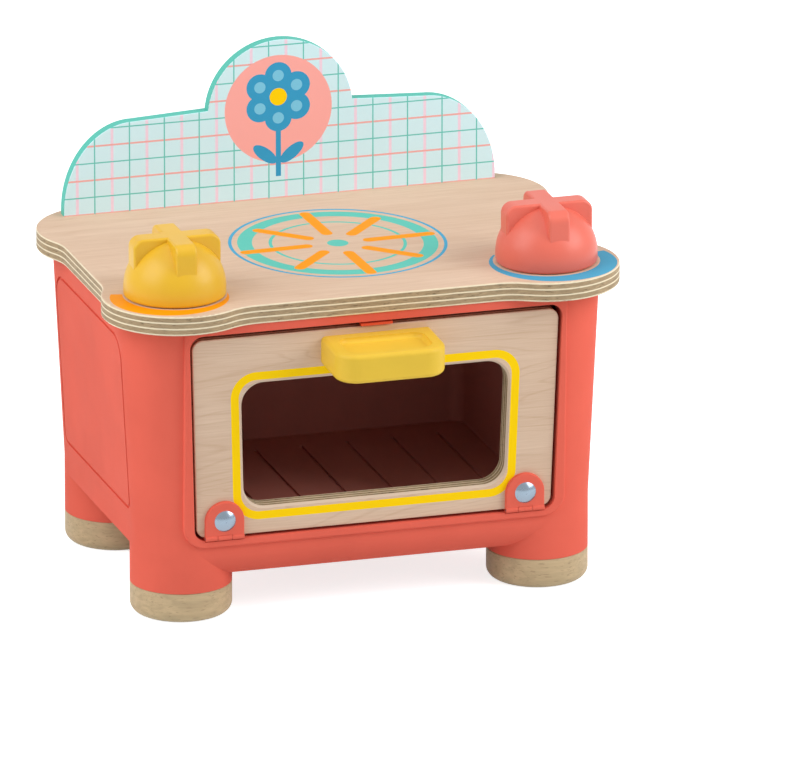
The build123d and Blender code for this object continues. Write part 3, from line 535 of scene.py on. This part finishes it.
def tabletop_wood(look, sizes):
    """Lacquered plywood with its layers on the edge and the hob printed on the face."""
    finish = printed_board("plywood_top")
    top = veneer(finish, finish.x, finish.y, finish.z, look)
    face = hob_print(finish, top, look, sizes)
    left = (LEFT_KNOB_LOW + LEFT_KNOB_HIGH) / 2
    right = (RIGHT_KNOB_LOW + RIGHT_KNOB_HIGH) / 2
    face = patch_print(finish, face, left, look.orange, **ORANGE_PATCH)
    face = patch_print(finish, face, right, look.blue, **BLUE_PATCH)
    face = finish.mix(finish.z.above(BOARD_HIGH.z - TOP_PRINT), top, face)
    edge = ply_edge(finish, finish.z - BOARD_LOW.z, finish.place, BOARD_HIGH.z - BOARD_LOW.z, look, sizes)
    flat = finish.spread(abs(finish.facing((0, 0, 1))), EDGE_END, FACE_START)
    finish.colour(finish.mix(flat, edge, face))
    return finish


def door_wood(look, sizes):
    """The door's plywood, with a stripe printed round the window and a painted highlight on its bevels."""
    finish = printed_board("plywood_door")
    up = finish.along(DOOR_FOOT, DOOR_UP)
    out = finish.along(DOOR_FOOT, DOOR_OUT)
    outward = abs(finish.facing(DOOR_OUT))
    wood = veneer(finish, finish.x + DOOR_CUT, up, out, look, contrast=0.28)
    face = finish.mix(stripe_print(finish, up, sizes).both(out.above(-DOOR_PRINT)), wood, look.stripe)
    edge = ply_edge(finish, out + DOOR_LAYERS, finish.point(finish.x, out, up), DOOR_LAYERS, look, sizes)
    board = finish.mix(finish.spread(outward, EDGE_END, FACE_START), edge, face)
    # The bevels get a plain band, picked out by how squarely they face out: a painted highlight, toned
    # close to the veneer.
    finish.colour(finish.mix(outward.near(HIGHLIGHT_FACING, HIGHLIGHT_SPAN), board, look.bevel))
    return finish


def stripe_print(finish, up, sizes):
    """1 on a round-cornered band round the window, a little wider at the top, else 0."""
    middle = (sizes.stripe_low + sizes.stripe_high) / 2
    half_up = (sizes.stripe_high - sizes.stripe_low) / 2
    aside = abs(finish.x) - (up - middle) * STRIPE_FLARE
    past_side = aside - (sizes.stripe_side - sizes.stripe_round)
    past_end = abs(up - middle) - (half_up - sizes.stripe_round)
    outside = reach(past_side.either(0.0), past_end.either(0.0))
    outside = outside + past_side.either(past_end).both(0.0) - sizes.stripe_round
    return outside.near(-sizes.stripe_width / 2, sizes.stripe_width)


def plaid_print(finish, look, sizes):
    """Crossed thin and wide lines on a pale ground, with a flower badge."""
    x, up = finish.x, finish.z - BOARD_HIGH.z
    pitch, rise = sizes.plaid_pitch, sizes.plaid_rise
    tint = finish.mix(finish.noise(PLAID_SPECKLE, detail=2.0), look.plaid_ground,
                      scaled(look.plaid_ground, 0.97))
    wide = x.wave(pitch, sizes.plaid_shift + pitch / 2).near(0.0, sizes.plaid_wide)
    thin = x.wave(pitch, sizes.plaid_shift).near(0.0, sizes.plaid_thin)
    coral = up.wave(rise).near(0.0, sizes.plaid_level)
    green = up.wave(rise, rise / 2).near(0.0, sizes.plaid_thin)
    tint = finish.mix(wide, tint, look.plaid_pink)
    tint = finish.mix(coral, tint, look.plaid_coral)
    tint = finish.mix(green.either(thin), tint, look.plaid_green)
    x, up = x - sizes.badge_x, up - sizes.badge_height
    tint = finish.mix(reach(x, up).below(sizes.badge_radius), tint, look.badge)
    return flower_print(finish, tint, x, up - sizes.flower_rise, look, sizes)


def flower_print(finish, ground, x, up, look, sizes):
    """A round-petalled flower on a stem with two leaves."""
    forward, aside = turned(abs(x) - LEAF_MIDDLE[0], up - LEAF_MIDDLE[1], LEAF_TURN)
    leaves = reach(forward / LEAF_HALF[0], aside / LEAF_HALF[1]).below(1.0)
    stem = x.near(0.0, sizes.stem_width).both((up + sizes.stem_length / 2).near(0.0, sizes.stem_length))
    radius = reach(x, up)
    turn = finish.maths("ARCTAN2", x, up).wave(2 * pi / sizes.petals)
    away = reach(radius * turn.maths("COSINE") - sizes.petal_reach, radius * turn.maths("SINE"))
    petals = away.below(sizes.petal_radius).either(radius.below(sizes.petal_reach))
    tint = finish.mix(leaves.either(stem).either(petals), ground, look.petal)
    tint = finish.mix(away.below(sizes.petal_radius * PETAL_MARK), tint, look.petal_light)
    return finish.mix(radius.below(sizes.flower_eye), tint, look.stripe)


def splashback_paint(look, sizes):
    """Painted plywood: plaid in front, a plain teal edge and bare wood behind."""
    finish = printed_board("plaid_board")
    wood = veneer(finish, finish.x + SPLASHBACK_CUT, finish.z, finish.y, look)
    outward = finish.facing((0, -1, 0))
    face = finish.mix(outward.above(PAINT_END), wood, plaid_print(finish, look, sizes))
    finish.colour(finish.mix(abs(outward).below(PAINT_END), face, look.teal))
    return finish


# ---------------------------------------------------------------- operators
def stand(item, target, azimuth, elevation, distance):
    """Puts a camera or lamp into the scene, off its target and turned to face it."""
    away = Vector((sin(azimuth) * cos(elevation), -cos(azimuth) * cos(elevation), sin(elevation)))
    item.location = target + away * distance
    item.rotation_euler = away.to_track_quat("Z", "Y").to_euler()
    bpy.context.scene.collection.objects.link(item)


class TOYOVEN_OT_shell(bpy.types.Operator):
    """Moulded shell with its hinges"""
    bl_idname = "toy_oven.shell"
    bl_label = "Shell and hinges"

    def execute(self, context):
        plastic = moulded("coral_plastic", context.scene.toy_oven_colours.shell, gloss=0.012)
        dress(plastic, "body_shell", "left_hinge_tab", "right_hinge_tab", "left_hinge_leaf",
              "right_hinge_leaf")
        return {"FINISHED"}


class TOYOVEN_OT_oven_box(bpy.types.Operator):
    """Box inside the shell, in the shell's coral made duller as painted shade"""
    bl_idname = "toy_oven.oven_box"
    bl_label = "Oven box"

    def execute(self, context):
        # The box's duller coral is painted shade of the inside of the shell's coral plastic.
        dress(moulded("oven_plastic", context.scene.toy_oven_colours.oven, smooth=0.54), "oven_liner")
        return {"FINISHED"}


class TOYOVEN_OT_feet(bpy.types.Operator):
    """Four turned feet"""
    bl_idname = "toy_oven.feet"
    bl_label = "Feet"

    def execute(self, context):
        dress(beech(context.scene.toy_oven_colours), "front_left_foot", "front_right_foot",
              "back_left_foot", "back_right_foot")
        return {"FINISHED"}


class TOYOVEN_OT_tabletop(bpy.types.Operator):
    """Plywood top with its printed hob"""
    bl_idname = "toy_oven.tabletop"
    bl_label = "Tabletop"

    def execute(self, context):
        scene = context.scene
        dress(tabletop_wood(scene.toy_oven_colours, scene.toy_oven_sizes), "tabletop")
        return {"FINISHED"}


class TOYOVEN_OT_splashback(bpy.types.Operator):
    """Plaid board at the back"""
    bl_idname = "toy_oven.splashback"
    bl_label = "Splashback"

    def execute(self, context):
        scene = context.scene
        dress(splashback_paint(scene.toy_oven_colours, scene.toy_oven_sizes), "splashback")
        return {"FINISHED"}


class TOYOVEN_OT_door(bpy.types.Operator):
    """Plywood door with its handle and catch"""
    bl_idname = "toy_oven.door"
    bl_label = "Door"

    def execute(self, context):
        look, sizes = context.scene.toy_oven_colours, context.scene.toy_oven_sizes
        dress(door_wood(look, sizes), "door_panel")
        dress(moulded("handle_plastic", look.handle, smooth=0.34, gloss=0.22), "door_handle")
        # The catch has its own coral, darker and more saturated than the shell's.
        dress(moulded("orange_plastic", look.catch), "door_catch")
        return {"FINISHED"}


class TOYOVEN_OT_knobs(bpy.types.Operator):
    """Two turning knobs in their bushes"""
    bl_idname = "toy_oven.knobs"
    bl_label = "Knobs"

    def execute(self, context):
        look = context.scene.toy_oven_colours
        dress(moulded("yellow_plastic", look.yellow, smooth=0.28, gloss=0.45), "left_knob")
        dress(moulded("red_plastic", look.red, smooth=0.28, gloss=0.45), "right_knob")
        dress(moulded("pale_plastic", look.bush), "left_knob_bush", "right_knob_bush")
        return {"FINISHED"}


class TOYOVEN_OT_fasteners(bpy.types.Operator):
    """Rivets, hinge pins, screws and washers"""
    bl_idname = "toy_oven.fasteners"
    bl_label = "Fasteners"

    def execute(self, context):
        look = context.scene.toy_oven_colours
        steel = metal("polished_steel", look.steel_dark, look.steel, cloud=90, sheen=700, smooth=0.20,
                      dull=0.30, grit=500, relief=0.00001)
        zinc = metal("zinc_plate", look.zinc_dark, look.zinc, cloud=240, sheen=900, smooth=0.3,
                     dull=0.5, grit=2000, relief=0.00003)
        dress(steel, "left_rivet", "right_rivet")
        dress(zinc, *(name for name in frame["nodes"] if name.endswith(ZINC_ENDINGS)))
        return {"FINISHED"}


class TOYOVEN_OT_stage(bpy.types.Operator):
    """Pale floor, soft lamps and the camera"""
    bl_idname = "toy_oven.stage"
    bl_label = "Studio"

    def execute(self, context):
        scene = context.scene
        studio = scene.toy_oven_studio
        self.camera(scene, studio)
        self.floor(scene, studio)
        self.world(scene, studio)
        self.lamps(studio)
        scene.view_settings.view_transform = "Standard"
        return {"FINISHED"}

    def camera(self, scene, studio):
        camera = bpy.data.objects.new("camera", bpy.data.cameras.new("camera"))
        camera.data.lens = studio.lens
        camera.data.sensor_width = studio.sensor
        camera.data.clip_end = studio.view_end
        stand(camera, Vector(studio.target), studio.azimuth, studio.elevation, studio.distance)
        scene.camera = camera

    def floor(self, scene, studio):
        mesh = bpy.data.meshes.new("floor")
        half = studio.floor_half
        corners = [(-half, -half, 0), (half, -half, 0), (half, half, 0), (-half, half, 0)]
        mesh.from_pydata(corners, [], [(0, 1, 2, 3)])
        floor = bpy.data.objects.new("floor", mesh)
        scene.collection.objects.link(floor)
        finish = Finish("floor_paint", roughness=0.9, base_color=studio.floor_tint,
                        emission_color=(1.0, 1.0, 1.0))
        finish.join(finish.shown() * studio.floor_glow, finish.shader.inputs["Emission Strength"])
        mesh.materials.append(finish.material)

    def world(self, scene, studio):
        """White where the stage shows, and as strong as the sky where it lights the oven."""
        scene.world = bpy.data.worlds.new("studio")
        scene.world.use_nodes = True
        nodes = Nodes(scene.world.node_tree)
        strength = nodes.add("ShaderNodeMapRange", nodes.shown(), 0.0, 1.0, studio.sky, 1.0)
        ground = nodes.tree.nodes["Background"]
        nodes.join((1.0, 1.0, 1.0), ground.inputs["Color"])
        nodes.join(strength.outputs[0], ground.inputs["Strength"])

    def lamps(self, studio):
        middle = Vector((0, 0, BOARD_LOW.z))
        for name, (turn, rise, width) in LAMPS.items():
            lamp = bpy.data.objects.new(name, bpy.data.lights.new(name, "AREA"))
            lamp.data.energy = getattr(studio, name)
            lamp.data.size = width
            stand(lamp, middle, turn, rise, studio.lamp_distance)


# ---------------------------------------------------------------- panel
STEPS = (
    TOYOVEN_OT_stage, TOYOVEN_OT_shell, TOYOVEN_OT_oven_box, TOYOVEN_OT_feet, TOYOVEN_OT_tabletop,
    TOYOVEN_OT_splashback, TOYOVEN_OT_door, TOYOVEN_OT_knobs, TOYOVEN_OT_fasteners,
)
GROUPS = {
    "toy_oven_colours": ToyOvenColours, "toy_oven_sizes": ToyOvenSizes, "toy_oven_studio": ToyOvenStudio,
}


class TOYOVEN_PT_panel(bpy.types.Panel):
    """The oven's settings and its steps in order"""
    bl_label = "Toy Oven"
    bl_idname = "TOYOVEN_PT_panel"
    bl_space_type = "VIEW_3D"
    bl_region_type = "UI"
    bl_category = "Toy Oven"

    def draw(self, context):
        for step in STEPS:
            self.layout.operator(step.bl_idname)
        for place, group in GROUPS.items():
            for name in group.__annotations__:
                self.layout.prop(getattr(context.scene, place), name)


def register():
    for cls in (*GROUPS.values(), *STEPS, TOYOVEN_PT_panel):
        bpy.utils.register_class(cls)
    for place, group in GROUPS.items():
        setattr(bpy.types.Scene, place, PointerProperty(type=group))


def unregister():
    for place in GROUPS:
        delattr(bpy.types.Scene, place)
    for cls in reversed((*GROUPS.values(), *STEPS, TOYOVEN_PT_panel)):
        bpy.utils.unregister_class(cls)


def main():
    register()
    for step in STEPS:
        family, name = step.bl_idname.split(".")
        getattr(getattr(bpy.ops, family), name)()


if __name__ == "__main__":
    main()
